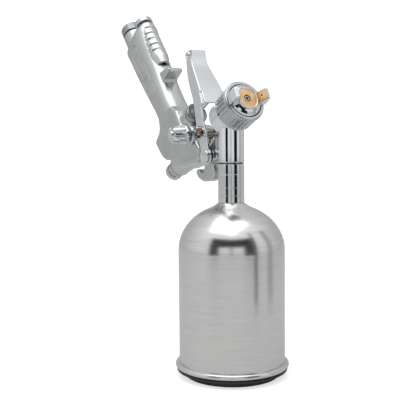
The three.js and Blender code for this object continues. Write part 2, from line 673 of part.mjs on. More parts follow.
function airValveStem() {
  const collar = VALVE_SEAT - 2.6;
  return turned([[0, collar - 8], [1.2, collar - 8], [1.2, collar - 1.8], [4.6, collar - 1.8],
    [4.6, collar], [2, collar], [2, STEM_TIP - 0.6], [1.4, STEM_TIP], [0, STEM_TIP]],
  { along: 'nozzle', sides: 16, at: [0, 0, AIR_VALVE_Z] });
}

function airValveSeal() {
  return tube(2.3, 5.2, VALVE_SEAT - 2.3, VALVE_SEAT - GAP,
    { along: 'nozzle', sides: 16, at: [0, 0, AIR_VALVE_Z] });
}

// ---------- fan control ----------

const FAN_PLACE = [FAN.x, 0, FAN.z];

function fanBush() {
  return turned([[2.2, 6], [3.3, 6], [3.3, 13.1], [5.2, 13.1], [5.2, 14.4], [2.2, 14.4]],
    { along: 'near', sides: 16, at: FAN_PLACE });
}

function fanSpindle() {
  return turned([[0, 5.8], [1.2, 5.8], [1.9, 7.4], [1.9, 19.4], [0, 19.4]],
    { along: 'near', sides: 12, at: FAN_PLACE });
}

function fanKnob() {
  const knob = turned([[0, 19.7], [2.2, 19.7], [2.2, 14.7], [7.8, 14.7], [8.6, 15.2], [8.6, 17.2],
    [8.2, 18], [6.8, 28], [6, 28.8], [3.6, 28.8], [3.4, 30.4], [0, 30.4]],
  { along: 'near', sides: 27, at: FAN_PLACE });
  const fluteCount = 9;
  const flutes = Array.from({ length: fluteCount }, (_, i) => {
    const angle = 2 * Math.PI * i / fluteCount;
    const at = [FAN_PLACE[0] + 9.5 * Math.cos(angle), 0, FAN_PLACE[2] + 9.5 * Math.sin(angle)];
    return rod(2, 18.4, 33, { along: 'near', sides: 8, at });
  });
  return cut(knob, ...flutes);
}

// ---------- fittings at the handle's end ----------

function inletWasher() {
  return tube(INLET_BORE, 9.4, 10 + GAP, 11.3, { at: [INLET_OFFSET, 0, 0] });
}

function airInlet() {
  return turned([[4.2, -6], [INLET_BORE - GAP, -6], [INLET_BORE - GAP, 11.6], [9.8, 11.6], [10, 12],
    [10, 19.4], [9.2, 20.2], [6.2, 20.2], [6.2, 13], [4.2, 11]], { at: [INLET_OFFSET, 0, 0] });
}

function flowBush() {
  return turned([[2.3, -16], [FLOW_BORE - GAP, -16], [FLOW_BORE - GAP, -4 + GAP], [6.6, -4 + GAP],
    [6.6, -1.8], [2.3, -1.8]], { sides: 16, at: [FLOW_OFFSET, 0, 0] });
}

function flowSpindle() {
  return turned([[0, -22], [1.4, -20], [2, -18.6], [2, 1.6], [0, 1.6]], { sides: 12, at: [FLOW_OFFSET, 0, 0] });
}

function flowKnob() {
  return turned([[2.3, -1.5], [6.4, -1.5], [6.4, -0.8], [8.2, -0.8], [8.6, -0.4], [8.6, 4], [7.8, 4.8], [0, 4.8],
    [0, 1.9], [2.3, 1.9]].reverse(), { sides: 24, at: [FLOW_OFFSET, 0, 0] });
}

// ---------- assembly ----------

add(group, 'cup_lid', cupLid(), 'blackPlastic');
add(group, 'lid_seal', lidSeal(), 'rubber');
add(group, 'lid_vent_plug', lidVentPlug(), 'blackPlastic');
add(group, 'cup', cup(), 'aluminium');
add(group, 'cup_collar', cupCollar(), 'chrome');
add(group, 'cup_lock_ring', cupLockRing(), 'chrome');
add(group, 'cup_adapter', cupAdapter(), 'chrome');
add(group, 'adapter_seal', adapterSeal(), 'rubber');
add(group, 'paint_strainer', paintStrainer(), 'whitePlastic');

add(gun, 'gun_body', gunBody(), 'casting');
add(gun, 'nozzle_seal', nozzleSeal(), 'whitePlastic');
add(gun, 'air_baffle', airBaffle(), 'brass');
add(gun, 'fluid_nozzle', fluidNozzle(), 'steel');
add(gun, 'air_cap', airCap(), 'brass');
add(gun, 'air_cap_ring', airCapRing(), 'chrome');

add(gun, 'fluid_needle', fluidNeedle(), 'steel');
add(gun, 'needle_collar', needleCollar(), 'brass');
add(gun, 'needle_packing', needlePacking(), 'whitePlastic');
add(gun, 'packing_nut', packingNut(), 'chrome');
add(gun, 'needle_spring', spring(3.4, 0.5, SPRING_REAR, SPRING_FRONT, 7, 0), 'steel');
add(gun, 'rear_bush', rearBush(), 'chrome');
add(gun, 'fluid_knob', fluidKnob(), 'chrome');

add(gun, 'trigger', trigger(), 'chrome');
add(gun, 'trigger_stud', triggerStud(), 'chrome');
add(gun, 'trigger_stud_clip', eClip(2.1, 4.2, -TRIGGER_HALF - 1.2, -TRIGGER_HALF - 0.6, PIVOT), 'steel');
add(gun, 'trigger_bar', triggerBar(), 'steel');
add(gun, 'trigger_bar_clip_near', eClip(2.3, 4.4, TRIGGER_HALF + 0.4, TRIGGER_HALF + 1.2, BAR), 'steel');
add(gun, 'trigger_bar_clip_far', eClip(2.3, 4.4, -TRIGGER_HALF - 1.2, -TRIGGER_HALF - 0.4, BAR), 'steel');

add(gun, 'air_valve_nut', airValveNut(), 'chrome');
add(gun, 'air_valve_stem', airValveStem(), 'steel');
add(gun, 'air_valve_seal', airValveSeal(), 'rubber');
add(gun, 'air_valve_spring', spring(3.6, 0.5, -83.6, VALVE_SEAT - 4.7, 7, AIR_VALVE_Z), 'steel');

add(gun, 'fan_bush', fanBush(), 'chrome');
add(gun, 'fan_spindle', fanSpindle(), 'steel');
add(gun, 'fan_knob', fanKnob(), 'chrome');

add(handleEnd, 'inlet_washer', inletWasher(), 'rubber');
add(handleEnd, 'air_inlet', airInlet(), 'chrome');
add(handleEnd, 'flow_bush', flowBush(), 'chrome');
add(handleEnd, 'flow_spindle', flowSpindle(), 'steel');
add(handleEnd, 'flow_knob', flowKnob(), 'chrome');

export default group;
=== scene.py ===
import json
import math

import bpy
from mathutils import Matrix, Vector


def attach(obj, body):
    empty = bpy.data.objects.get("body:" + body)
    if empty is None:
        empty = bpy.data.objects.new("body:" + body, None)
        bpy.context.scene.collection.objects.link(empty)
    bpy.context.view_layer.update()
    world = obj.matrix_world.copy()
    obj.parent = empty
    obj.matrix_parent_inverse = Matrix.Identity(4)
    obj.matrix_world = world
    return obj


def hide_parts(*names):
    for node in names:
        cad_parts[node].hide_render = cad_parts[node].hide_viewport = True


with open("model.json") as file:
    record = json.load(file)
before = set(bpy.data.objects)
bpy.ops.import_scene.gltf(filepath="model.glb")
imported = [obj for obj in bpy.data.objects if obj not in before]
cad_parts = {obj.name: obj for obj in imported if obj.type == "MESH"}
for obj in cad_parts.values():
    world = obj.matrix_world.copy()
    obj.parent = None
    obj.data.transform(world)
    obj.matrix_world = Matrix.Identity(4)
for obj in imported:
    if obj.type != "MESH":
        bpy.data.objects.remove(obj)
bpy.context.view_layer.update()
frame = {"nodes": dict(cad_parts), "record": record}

MM = 0.001
SIDES = 96
SAME_SPOT = 1e-6
NEARLY_STRAIGHT = math.radians(165)

# ---------- places ----------
# The gun is drawn in its own frame: x along the needle, z towards the handle's end, y across.

GUN_TILT = math.radians(27)
AXIS_HEIGHT = 208.1
HANDLE_TILT = math.radians(14)
HANDLE_END = (-104.2, 0, 143)


def shift(x, y, z):
    return Matrix.Translation((x, y, z))


UP = Matrix.Identity(4)
GUN = shift(0, 0, AXIS_HEIGHT) @ Matrix.Rotation(-GUN_TILT, 4, "Y")
NOZZLE = GUN @ Matrix.Rotation(math.radians(90), 4, "Y")
HANDLE = GUN @ shift(*HANDLE_END) @ Matrix.Rotation(-HANDLE_TILT, 4, "Y")


def along_nozzle(z):
    return GUN @ shift(0, 0, z) @ Matrix.Rotation(math.radians(90), 4, "Y")


def towards_near(x, z):
    return GUN @ shift(x, 0, z) @ Matrix.Rotation(math.radians(90), 4, "X")


FLOW_CONTROL = HANDLE @ shift(12.6, 0, 0)
AIR_INLET = HANDLE @ shift(-9.5, 0, 0)
AIR_VALVE = along_nozzle(26.5)
FAN_CONTROL = towards_near(-48, 7.2)
TRIGGER_PIVOT = towards_near(-32, -20.5)
TRIGGER_BAR = towards_near(-31.5, 0.3)
TRIGGER_TIP = towards_near(-25.4, 70.6)


# ---------- mesh helpers ----------

def mesh_from(name, points, faces, place):
    mesh = bpy.data.meshes.new(name)
    mesh.from_pydata([(place @ Vector(p)) * MM for p in points], [], faces)
    mesh.validate()
    mesh.update()
    return mesh


def piece(name, mesh, material, body, nodes=(), sharp=32):
    obj = bpy.data.objects.new(name, mesh)
    bpy.context.scene.collection.objects.link(obj)
    mesh.materials.clear()
    mesh.materials.append(material)
    for polygon in mesh.polygons:
        polygon.use_smooth = True
    mesh.set_sharp_from_angle(angle=math.radians(sharp))
    even_shading = obj.modifiers.new("even_shading", "WEIGHTED_NORMAL")
    even_shading.keep_sharp = True
    even_shading.weight = 100
    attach(obj, body)
    if nodes:
        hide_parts(*nodes)
    return obj


def softened(profile, edge, steps=3):
    """Rounds every corner of a turned profile that isn't on the axis."""
    out = []
    count = len(profile)
    for i, (r, d) in enumerate(profile):
        before = profile[i - 1]
        after = profile[(i + 1) % count]
        here = Vector((r, d))
        back = Vector(before) - here
        ahead = Vector(after) - here
        repeated = back.length < SAME_SPOT or ahead.length < SAME_SPOT
        if r == 0 or repeated or back.angle(ahead) > NEARLY_STRAIGHT:
            out.append((r, d))
            continue
        reach = min(edge, 0.4 * back.length, 0.4 * ahead.length)
        start = here + back.normalized() * reach
        end = here + ahead.normalized() * reach
        for k in range(steps + 1):
            t = k / steps
            spot = start * (1 - t) ** 2 + here * (2 * t * (1 - t)) + end * t ** 2
            out.append((spot.x, spot.y))
    return out


def turned(name, profile, place, edge=0.3, sides=SIDES, shape=None):
    """A turned solid. shape(radius, distance, angle) may change the radius, for flutes and knurls."""
    outline = softened(profile, edge)
    points = []
    faces = []
    rows = []
    for r, d in outline:
        if r == 0:
            rows.append([len(points)])
            points.append((0, 0, d))
            continue
        row = []
        for k in range(sides):
            a = 2 * math.pi * k / sides
            radius = shape(r, d, a) if shape else r
            row.append(len(points))
            points.append((radius * math.cos(a), radius * math.sin(a), d))
        rows.append(row)
    closed = profile[0][0] != 0 or profile[-1][0] != 0
    pairs = list(zip(rows, rows[1:]))
    if closed:
        pairs.append((rows[-1], rows[0]))
    for low, high in pairs:
        for k in range(sides):
            n = (k + 1) % sides
            if len(low) == 1 and len(high) == 1:
                continue
            if len(low) == 1:
                faces.append((low[0], high[n], high[k]))
            elif len(high) == 1:
                faces.append((low[k], low[n], high[0]))
            else:
                faces.append((low[k], low[n], high[n], high[k]))
    return mesh_from(name, points, faces, place)


def lathe(name, profile, place, material, body, slot, node, **how):
    """A turned piece that stands in for one CAD node."""
    return piece(name, turned(name, profile, place, **how), material, body, [node])


def refined_copy(name, node, material, body, voxel, rounds, nodes):
    """A fine cast or pressed surface over a CAD solid: its corners are softened and its facets eased."""
    obj = piece(name, frame["nodes"][node].data.copy(), material, body, nodes, sharp=180)
    fine = obj.modifiers.new("fine", "REMESH")
    fine.mode = "VOXEL"
    fine.voxel_size = voxel * MM
    fine.use_smooth_shade = True
    ease = obj.modifiers.new("ease", "SMOOTH")
    ease.factor = 0.5
    ease.iterations = rounds
    return obj


# ---------- materials ----------

class Nodes:
    """A material's node tree, with short ways to add noise, ramps and bump to it."""

    def __init__(self, name):
        self.material = bpy.data.materials.new(name)
        self.material.use_nodes = True
        self.tree = self.material.node_tree
        self.shader = self.tree.nodes["Principled BSDF"]
        self.coords = self.tree.nodes.new("ShaderNodeTexCoord").outputs["Object"]

    def new(self, kind, **values):
        node = self.tree.nodes.new(kind)
        for key, value in values.items():
            node.inputs[key.replace("_", " ")].default_value = value
        return node

    def link(self, out, into):
        self.tree.links.new(out, into)

    def noise(self, scale, detail=4.0, stretch=(1, 1, 1)):
        place = self.new("ShaderNodeMapping")
        place.inputs["Scale"].default_value = stretch
        self.link(self.coords, place.inputs["Vector"])
        noise = self.new("ShaderNodeTexNoise", Scale=scale, Detail=detail)
        self.link(place.outputs["Vector"], noise.inputs["Vector"])
        return noise.outputs["Fac"]

    def ramp(self, source, low, high, start=0.35, end=0.65):
        ramp = self.tree.nodes.new("ShaderNodeValToRGB")
        ramp.color_ramp.elements[0].position = start
        ramp.color_ramp.elements[0].color = low
        ramp.color_ramp.elements[1].position = end
        ramp.color_ramp.elements[1].color = high
        self.link(source, ramp.inputs["Fac"])
        return ramp.outputs["Color"]

    def span(self, source, low, high):
        span = self.new("ShaderNodeMapRange")
        span.inputs["From Min"].default_value = 0.3
        span.inputs["From Max"].default_value = 0.7
        span.inputs["To Min"].default_value = low
        span.inputs["To Max"].default_value = high
        self.link(source, span.inputs["Value"])
        return span.outputs["Result"]

    def bump(self, source, strength, distance):
        bump = self.new("ShaderNodeBump", Strength=strength, Distance=distance * MM)
        self.link(source, bump.inputs["Height"])
        self.link(bump.outputs["Normal"], self.shader.inputs["Normal"])


def grey(value):
    return (value, value, value * 1.01, 1)


def metal(name, dark, light, rough, grain, bump, stretch=(1, 1, 1), patch=60.0, streak=(1, 1, 1)):
    """Metal whose tone and roughness wander over patches, with a fine grain in its surface."""
    made = Nodes(name)
    made.shader.inputs["Metallic"].default_value = 1.0
    made.link(made.ramp(made.noise(patch, 5.0, streak), dark, light), made.shader.inputs["Base Color"])
    wear = made.span(made.noise(patch * 2.3, 4.0, streak), rough[0], rough[1])
    made.link(wear, made.shader.inputs["Roughness"])
    made.bump(made.noise(grain, 6.0, stretch), bump[0], bump[1])
    return made.material


def plastic(name, dark, light, rough, grain, bump):
    made = Nodes(name)
    made.link(made.ramp(made.noise(90.0), dark, light), made.shader.inputs["Base Color"])
    made.link(made.span(made.noise(240.0), rough[0], rough[1]), made.shader.inputs["Roughness"])
    made.bump(made.noise(grain, 5.0), bump[0], bump[1])
    return made.material


chrome = metal("polished_chrome", (0.74, 0.76, 0.78, 1), (0.82, 0.83, 0.84, 1), (0.04, 0.09), 300.0,
               (0.02, 0.02), patch=25.0)
casting = metal("satin_casting", (0.54, 0.56, 0.55, 1), (0.62, 0.64, 0.63, 1), (0.22, 0.30), 1500.0,
                (0.06, 0.03), patch=30.0)
spun = metal("spun_aluminium", (0.69, 0.69, 0.675, 1), (0.76, 0.76, 0.745, 1), (0.17, 0.24), 60.0,
             (0.05, 0.03), stretch=(1, 1, 60), patch=40.0, streak=(1, 1, 30))
spun.node_tree.nodes["Principled BSDF"].inputs["Anisotropic"].default_value = 0.35
turned_trim = metal("turned_trim", (0.58, 0.59, 0.60, 1), (0.72, 0.73, 0.74, 1), (0.10, 0.20), 1200.0,
                    (0.05, 0.05), patch=80.0)
ring_chrome = metal("ring_chrome", (0.50, 0.52, 0.54, 1), (0.62, 0.63, 0.65, 1), (0.12, 0.20), 600.0,
                    (0.04, 0.03), patch=40.0)
dark_trim = metal("grey_plating", (0.26, 0.28, 0.30, 1), (0.40, 0.42, 0.44, 1), (0.16, 0.26), 900.0,
                  (0.04, 0.04), patch=60.0)
brass = metal("polished_brass", (0.72, 0.46, 0.24, 1), (0.86, 0.60, 0.36, 1), (0.14, 0.24), 1300.0,
              (0.06, 0.05), patch=150.0)
steel = metal("bright_steel", (0.40, 0.39, 0.37, 1), (0.55, 0.54, 0.52, 1), (0.22, 0.34), 1400.0,
              (0.06, 0.05), patch=150.0)
bronze_clip = metal("heat_tinted_steel", (0.22, 0.14, 0.09, 1), (0.36, 0.25, 0.18, 1), (0.24, 0.36), 1400.0,
                    (0.06, 0.05), patch=200.0)
black_plastic = plastic("black_plastic", (0.012, 0.012, 0.014, 1), (0.03, 0.03, 0.034, 1), (0.38, 0.52),
                        2200.0, (0.10, 0.08))
white_plastic = plastic("white_plastic", (0.72, 0.71, 0.67, 1), (0.82, 0.81, 0.77, 1), (0.4, 0.5),
                        1500.0, (0.08, 0.05))
rubber = plastic("seal_rubber", (0.01, 0.01, 0.01, 1), (0.03, 0.03, 0.03, 1), (0.55, 0.7),
                 1800.0, (0.15, 0.08))

SLOT_LOOK = {
    "body_casting": casting, "spun_aluminium": spun, "polished_trim": turned_trim, "chrome_parts": chrome,
    "brass_parts": brass, "spring_steel": steel, "black_lid": black_plastic,
    "strainer_plastic": white_plastic, "seal_rubber": rubber,
}
for row in frame["record"]["subparts"]:
    node = frame["nodes"][row["node"]]
    node.data.materials.clear()
    node.data.materials.append(SLOT_LOOK[row["material_slot"]])


# ---------- cup and lid ----------

CUP_RADIUS = 42.5
CUP_SHOULDER = 101
CUP_TOP = 138.6
NECK = 10.4


def arc(cx, cy, radius, start, end, steps):
    spots = []
    for i in range(steps + 1):
        a = math.radians(start + (end - start) * i / steps)
        spots.append((cx + radius * math.cos(a), cy + radius * math.sin(a)))
    return spots


def dome(radius, rise, neck, steps):
    """The cup's shoulder: an ellipse that bends back up into the neck."""
    spots = [(radius * math.cos(math.radians(66 * i / steps)),
              CUP_SHOULDER + rise * math.sin(math.radians(66 * i / steps))) for i in range(steps + 1)]
    start_r, start_z = spots[-1]
    end_z = CUP_TOP - (CUP_RADIUS - radius)
    bend_r = start_r + 0.6 * (neck - start_r)
    bend_z = start_z + 0.42 * (end_z - start_z)
    for k in range(1, 15):
        t = k / 14
        spots.append(((1 - t) ** 2 * start_r + 2 * t * (1 - t) * bend_r + t * t * neck,
                      (1 - t) ** 2 * start_z + 2 * t * (1 - t) * bend_z + t * t * end_z))
    return spots


def make_cup():
    outside = arc(43.35, 9.06, 2.3, -143, 112, 24) + dome(CUP_RADIUS, 36.6, NECK, 30)
    inside = dome(CUP_RADIUS - 1.6, 35.0, 6.2, 20)[::-1]
    profile = outside + [(8.4, CUP_TOP), (8.4, 152), (6.2, 152)] + inside
    lathe("cup_shell", profile, UP, spun, "cup", "spun_aluminium", "cup", edge=0.15, sides=160)
    collar = [(8.7, 138.9), (10.5, 138.9), (10.5, 144.2), (8.7, 144.2)]
    lathe("neck_collar", collar, UP, chrome, "cup", "chrome_parts", "cup_collar", edge=0.12)
    ring = [(8.7, 144.4), (10.4, 144.4), (10.4, 150.7), (8.7, 150.7)]
    lathe("lock_ring", ring, UP, chrome, "cup", "chrome_parts", "cup_lock_ring", edge=0.12)
    adapter = [(8.7, 150.9), (10.4, 150.9), (10.4, 160.9), (10.15, 161), (10.15, 161.3), (10.4, 161.4),
               (10.4, 169.2), (8, 169.2), (8, 180.2), (5, 180.2), (5, 154.2), (8.7, 154.2)]
    lathe("screw_adapter", adapter, UP, chrome, "gun", "chrome_parts", "cup_adapter", edge=0.12)


def make_lid():
    def grip_ribs(r, d, a):
        if r > 44 and 4.6 <= d <= 6.3:
            return r - 0.25 * (0.5 + 0.5 * math.cos(80 * a))
        return r

    profile = [(0, 0), (10, 0), (37.4, 0), (37.9, 0.5), (37.9, 4.6), (44.5, 4.6), (44.5, 6.3), (40.5, 6.3),
               (40.5, 9.2), (38.9, 9.2), (38.9, 12), (40.5, 12), (40.5, 14.5), (37.4, 14.5), (37.4, 9),
               (0, 9)]
    lathe("lid_moulding", profile, UP, black_plastic, "lid", "black_lid", "cup_lid", edge=0.5,
          sides=160, shape=grip_ribs)


# ---------- gun body ----------

RIB_LEVELS = [-10.5 - 7.2 * i for i in range(5)]      # grooves of the strip, from the handle's end
GRIP = [
    (24, -77, 17, 11), (36, -79.5, 15.5, 11.6), (47, -81.8, 13.6, 12), (60, -85.2, 13.6, 12),
    (74, -89, 15, 12), (90, -93.2, 16.6, 12), (107, -98, 17.6, 12), (124, -101.6, 19, 12),
    (135.5, -104, 20.6, 11.8), (138.8, -104.6, 19.8, 10.8),
]


def grip_at(z):
    """Centre, half depth and half thickness of the grip at a height, eased between its sections."""
    for i in range(len(GRIP) - 1):
        if z <= GRIP[i + 1][0]:
            break
    before = GRIP[max(i - 1, 0)]
    low = GRIP[i]
    high = GRIP[i + 1]
    after = GRIP[min(i + 2, len(GRIP) - 1)]
    t = (z - low[0]) / (high[0] - low[0])
    values = []
    for k in (1, 2, 3):
        start_slope = (high[k] - before[k]) / max(high[0] - before[0], 1e-6) * (high[0] - low[0])
        end_slope = (after[k] - low[k]) / max(after[0] - low[0], 1e-6) * (high[0] - low[0])
        values.append((2 * t ** 3 - 3 * t ** 2 + 1) * low[k] + (t ** 3 - 2 * t ** 2 + t) * start_slope
                      + (3 * t ** 2 - 2 * t ** 3) * high[k] + (t ** 3 - t ** 2) * end_slope)
    return values


PANEL_OVALS = ((24, 6.5, 98), (11, 3.6, 104))     # half length, half width, level of the middle
PANEL_DEPTH = 0.55
PANEL_LINE = 0.5


def panel_groove(along, across):
    """Depth of the two long oval lines pressed in each side of the grip."""
    depth = 0
    for half_length, half_width, level in PANEL_OVALS:
        past_end = max(abs(along - level) - half_length, 0)
        edge = math.hypot(past_end, across + 1) - half_width
        depth = max(depth, PANEL_DEPTH * math.exp(-(edge / PANEL_LINE) ** 2))
    return depth


def make_grip():
    columns = 150
    levels = [26 + (138.8 - 26) * j / 190 for j in range(191)]
    points = []
    faces = []
    slope = math.tan(HANDLE_TILT)
    for z in levels:
        centre, depth, thick = grip_at(z)
        for k in range(columns):
            a = 2 * math.pi * k / columns
            u = math.copysign(abs(math.cos(a)) ** (2 / 3), math.cos(a))
            v = math.copysign(abs(math.sin(a)) ** (2 / 3), math.sin(a))
            across = (depth + 0.12) * u
            side = (thick + 0.08) * v
            if abs(v) > 0.6:
                side -= math.copysign(panel_groove(z, across), side)
            edge_in = max(0, z - 136.8) * 0.35
            points.append((centre + across - math.copysign(edge_in, u) * abs(u), side * (1 - edge_in / 12),
                           z + slope * across))
    points.append((grip_at(138.8)[0], 0, 138.9))
    count = len(levels)
    for k in range(columns):
        last = (count - 1) * columns
        faces.append((last + k, last + (k + 1) % columns, len(points) - 1))
    for j in range(count - 1):
        for k in range(columns):
            n = (k + 1) % columns
            faces.append((j * columns + k, j * columns + n, (j + 1) * columns + n, (j + 1) * columns + k))
    piece("grip", mesh_from("grip", points, faces, GUN), casting, "gun", ["gun_body"], 40)


STRIP_DRAWN_IN = 0.86
GRIP_DRAWN_IN = 0.92


def thin_under_details(obj):
    """Draws the casting in a little where the grip and its ribbed strip have surfaces of their own."""
    depsgraph = bpy.context.evaluated_depsgraph_get()
    mesh = bpy.data.meshes.new_from_object(obj.evaluated_get(depsgraph))
    obj.modifiers.clear()
    obj.data = mesh
    to_gun = GUN.inverted()
    to_strip = FLOW_CONTROL.inverted()
    slope = math.tan(HANDLE_TILT)
    for vertex in mesh.vertices:
        here = vertex.co / MM
        strip = to_strip @ here
        reach = math.hypot(strip.x, strip.y)
        if reach < 8.9 and -60 < strip.z < -4.2:
            strip.x *= STRIP_DRAWN_IN
            strip.y *= STRIP_DRAWN_IN
            here = FLOW_CONTROL @ strip
        spot = to_gun @ here
        across = spot.x + 85
        for _ in range(3):
            level = min(max(spot.z - slope * across, 30), 138.5)
            centre, depth, thick = grip_at(level)
            across = spot.x - centre
        if spot.z - slope * across < 50:
            vertex.co = here * MM
            continue
        if abs(across / (depth + 0.4)) ** 3 + abs(spot.y / (thick + 0.4)) ** 3 < 1:
            spot.x = centre + GRIP_DRAWN_IN * across
            spot.z -= slope * (1 - GRIP_DRAWN_IN) * across
            spot.y *= GRIP_DRAWN_IN
            if spot.z - slope * across > 137:
                spot.z -= 0.6
        vertex.co = (GUN @ spot) * MM


def make_body():
    cast = refined_copy("body_cast", "gun_body", casting, "gun", 0.55, 5, ["gun_body"])
    thin_under_details(cast)
    make_grip()
    head = [(9, -12.9), (11.3, -13), (14.66, -9.8), (14.66, 4.2), (13.3, 4.2), (13.3, 3), (9, 3)]
    lathe("head_turning", head, NOZZLE, chrome, "gun", "chrome_parts", "gun_body", edge=0.8)
    boss = [(8.4, 170.5), (10.1, 170.5), (10.46, 170.9), (10.46, 201), (8.4, 201)]
    lathe("neck_boss", boss, UP, chrome, "gun", "chrome_parts", "gun_body")
    rear = [(9.3, -62), (11.05, -62), (10.66, -78), (9.46, -89), (9.46, -93), (7.7, -93), (7.7, -92),
            (9, -90)]
    lathe("rear_boss", rear, NOZZLE, casting, "gun", "body_casting", "gun_body")
    valve_boss = [(6.4, -76), (9.66, -76), (9.66, -49.6), (6.4, -49.6)]
    lathe("valve_boss", valve_boss, AIR_VALVE, casting, "gun", "body_casting", "gun_body")
    fan_boss = [(3.7, 11), (8.25, 11), (8.25, 11.4), (6.8, 12.85), (3.7, 12.85)]
    lathe("fan_boss", fan_boss, FAN_CONTROL, casting, "gun", "body_casting", "gun_body")
    socket = [(6.9, -26), (9, -28), (10.06, -24), (10.06, 9.5), (9.6, 10), (6.9, 10)]
    lathe("inlet_socket", socket, AIR_INLET, casting, "gun", "body_casting",
          "gun_body")

    def ribs(r, d, a):
        if r < 8:
            return r
        cut = sum(0.7 * math.exp(-((d - level) / 0.7) ** 2) for level in RIB_LEVELS)
        return r - cut

    strip = [(4.5, -54), (6.6, -54), (8.2, -47), (8.56, -44)]
    strip += [(8.57, -44 + 0.5 * i) for i in range(1, 79)]
    strip += [(8.56, -4.4), (8.1, -4), (4.5, -4)]
    lathe("ribbed_strip", strip, FLOW_CONTROL, casting, "gun", "body_casting",
          "gun_body", edge=0.1, shape=ribs)


# ---------- nozzle ----------

def make_ring():
    def grooves(r, d, a):
        if r > 16.5 and 5.6 < d < 18.3:
            fade = min(1, (d - 5.6) / 1.2, (18.3 - d) / 1.2)
            wave = min(1, max(0, (math.cos(28 * a) + 0.15) / 0.7))
            return r - 1.1 * fade * wave * wave * (3 - 2 * wave)
        return r

    skirt = [(13.5, 4.6), (16.2, 4.6), (16.9, 5.5)]
    skirt += [(16.9, 5.7 + 0.6 * i) for i in range(21)]
    skirt += [(16.6, 18.6), (17.3, 19.2), (17.3, 20.4), (16.9, 20.7), (17.2, 21.2), (17.1, 22),
              (16.4, 22.6), (14.3, 22.6), (14.25, 20.4), (15.4, 20.4), (15.4, 14.6), (13.5, 14.6)]
    lathe("cap_ring", skirt, NOZZLE, ring_chrome, "air_cap_ring", "chrome_parts", "air_cap_ring",
          edge=0.35, sides=336, shape=grooves)


def horn_metal():
    """Polished plating, worn back to bare brass on the inner faces of the two horns."""
    made = Nodes("plated_brass")
    made.shader.inputs["Metallic"].default_value = 1.0
    gun_frame = made.new("ShaderNodeMapping")
    gun_frame.vector_type = "TEXTURE"
    gun_frame.inputs["Location"].default_value = (0, 0, AXIS_HEIGHT * MM)
    gun_frame.inputs["Rotation"].default_value = (0, -GUN_TILT, 0)
    made.link(made.coords, gun_frame.inputs["Vector"])
    split = made.tree.nodes.new("ShaderNodeSeparateXYZ")
    made.link(gun_frame.outputs["Vector"], split.inputs["Vector"])

    def math_node(kind, a, b):
        node = made.tree.nodes.new("ShaderNodeMath")
        node.operation = kind
        for k, value in enumerate((a, b)):
            if isinstance(value, (int, float)):
                node.inputs[k].default_value = value
            else:
                made.link(value, node.inputs[k])
        return node.outputs["Value"]

    out = math_node("ABSOLUTE", split.outputs["Y"], 0)
    slope = math_node("MULTIPLY_ADD", split.outputs["X"], 0.42)
    slope.node.inputs[2].default_value = (9.2 - 0.42 * 26.4) * MM
    inner = math_node("LESS_THAN", out, slope)
    ahead = math_node("GREATER_THAN", split.outputs["X"], 26.5 * MM)
    mask = math_node("MULTIPLY", inner, ahead)
    plated = made.ramp(made.noise(45.0), (0.74, 0.76, 0.78, 1), (0.82, 0.83, 0.84, 1))
    bare = made.ramp(made.noise(150.0), (0.66, 0.42, 0.20, 1), (0.82, 0.57, 0.32, 1))
    mix = made.tree.nodes.new("ShaderNodeMix")
    mix.data_type = "RGBA"
    made.link(mask, mix.inputs["Factor"])
    made.link(plated, mix.inputs["A"])
    made.link(bare, mix.inputs["B"])
    made.link(mix.outputs["Result"], made.shader.inputs["Base Color"])
    made.link(made.span(made.noise(120.0), 0.06, 0.14), made.shader.inputs["Roughness"])
    made.bump(made.noise(600.0, 6.0), 0.03, 0.03)
    return made.material


def make_air_cap():
    refined_copy("cap_horns", "air_cap", horn_metal(), "air_cap", 0.28, 5, ["air_cap"])
    rim = [(9.0, 25.4), (9.35, 25.6), (9.3, 26.5), (8.9, 26.85), (8.45, 26.7), (8.2, 25.8)]
    lathe("face_rim", rim, NOZZLE, chrome, "air_cap", "brass_parts", "air_cap", edge=0.1)
    disc = [(2.75, 26.2), (3.0, 26.6), (3.5, 26.6), (3.8, 26.5), (8.4, 26.5), (8.5, 25.6), (2.75, 25.6)]
    lathe("brass_face", disc, NOZZLE, brass, "air_cap", "brass_parts", "air_cap", edge=0.08)
    nozzle = [(6.6, 18.4), (5.6, 21), (2.2, 24.2), (2.2, 26.0), (2.0, 26.2), (1.2, 26.2), (1.0, 26.0),
              (1.0, 25.4), (2.6, 18), (2.6, 3.5), (6.1, 3.5), (6.1, 14.6), (7.1, 14.6), (7.1, 16.7),
              (9.6, 16.7), (9.6, 18.4)]
    lathe("nozzle_tip", nozzle, NOZZLE, steel, "gun", "chrome_parts", "fluid_nozzle", edge=0.12)


# ---------- needle, knobs and bushes ----------

def make_needle():
    needle = [(0, -76), (1.4, -76), (1.4, -62.5), (4.2, -62.5), (4.2, -60), (1.4, -60), (1.4, 16),
              (0.4, 25), (0, 25)]
    lathe("needle_rod", needle, NOZZLE, steel, "needle", "chrome_parts", "fluid_needle", edge=0.2,
          sides=32)
    collar = [(1.7, -41.8), (3.6, -41.8), (3.6, -36.4), (3, -35.8), (1.7, -35.8)]
    lathe("needle_stop", collar, NOZZLE, brass, "needle", "brass_parts", "needle_collar", sides=48)

    def hexagon(r, d, a):
        if r < 4:
            return r
        part = math.radians(60)
        return r * math.cos(part / 2) / math.cos((a % part) - part / 2)

    nut = [(1.7, -18.6), (6, -18.6), (6, -13.3), (3.6, -13.3), (3.6, -8.9), (1.7, -8.9)]
    lathe("gland_nut", nut, NOZZLE, chrome, "gun", "chrome_parts", "packing_nut", edge=0.4,
          sides=72, shape=hexagon)


